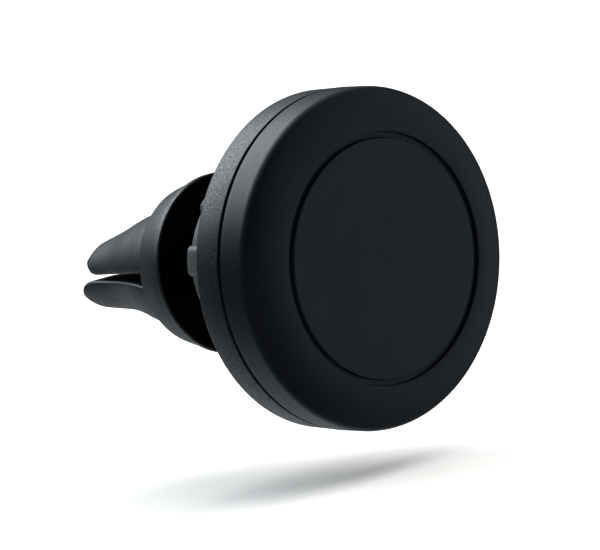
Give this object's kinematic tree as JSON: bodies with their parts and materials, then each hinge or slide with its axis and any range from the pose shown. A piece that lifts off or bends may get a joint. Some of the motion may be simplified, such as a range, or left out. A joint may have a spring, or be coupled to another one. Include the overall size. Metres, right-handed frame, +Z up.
{
  "type": "magnetic car vent phone mount",
  "caption": "Round magnetic phone holder on a lockable ball joint, with a dished rubber-prong clip that grips a car's air vent louvre.",
  "frame": {"origin": "bottom of the two louvre slots, on the clip's axis", "axes": "+Y back into the vent along the clip's axis, +Z up with the longer pair of prongs below the level slot, +X to the right as seen from the front"},
  "size_m": [0.042, 0.0578, 0.0421],
  "materials": {
    "soft_touch": "soft-touch lacquer, satin to matte",
    "face_rubber": "smooth matte rubber",
    "adhesive_film": "dull film",
    "tray_plastic": "plain moulded",
    "nickel_plate": "bright nickel",
    "yoke_steel": "rolled sheet",
    "grained_plastic": "fine spark-eroded grain",
    "screw_steel": "zinc plated",
    "socket_nylon": "moulded nylon, slight sheen",
    "friction_rubber": "dull rubber",
    "ring_acetal": "natural acetal",
    "nut_plastic": "moulded, satin",
    "ball_steel": "polished steel",
    "washer_steel": "zinc plated",
    "insert_brass": "turned brass",
    "sleeve_rubber": "smooth matte silicone rubber",
    "leaf_steel": "spring steel"
  },
  "bodies": {
    "clip": {"clip_core": "grained_plastic", "grip_sleeve": "sleeve_rubber", "prong_leaf_upper_left": "leaf_steel", "prong_leaf_upper_right": "leaf_steel", "prong_leaf_lower_left": "leaf_steel", "prong_leaf_lower_right": "leaf_steel", "thread_insert": "insert_brass", "stud_washer": "washer_steel"},
    "ball": {"ball_stud": "ball_steel"},
    "seat": {"friction_pad": "friction_rubber"},
    "head": {"front_pad": "face_rubber", "pad_adhesive": "adhesive_film", "front_bezel": "soft_touch", "magnet_tray": "tray_plastic", "magnets": "nickel_plate", "yoke_plate": "yoke_steel", "rear_housing": "grained_plastic", "housing_screws": "screw_steel", "ball_socket": "socket_nylon", "socket_screws": "screw_steel"},
    "clamp": {"clamp_ring": "ring_acetal"},
    "nut": {"lock_nut": "nut_plastic"}
  },
  "joints": [
    {"name": "head_swivel", "type": "hinge", "parent": "clip", "child": "ball", "pos_m": [0, -0.0174, 0], "axis": [0, 1, 0], "continuous": true},
    {"name": "head_tilt", "type": "hinge", "parent": "ball", "child": "seat", "pos_m": [0, -0.0174, 0], "axis": [1, 0, 0], "range_deg": [-28, 22]},
    {"name": "head_spin", "type": "hinge", "parent": "seat", "child": "head", "pos_m": [0, -0.0174, 0], "axis": [0, 0.9986, 0.0523], "continuous": true},
    {"name": "nut_advance", "type": "slide", "parent": "head", "child": "clamp", "axis": [0, 0.9986, 0.0523], "range_m": [0, 0.00112]},
    {"name": "nut_turn", "type": "hinge", "parent": "clamp", "child": "nut", "pos_m": [0, -0.0174, 0], "axis": [0, 0.9986, 0.0523], "range_deg": [0, 270]}
  ],
  "couplings": [
    {"joint": "nut_turn", "follows": "nut_advance", "rad_per_m": 4188.8}
  ]
}
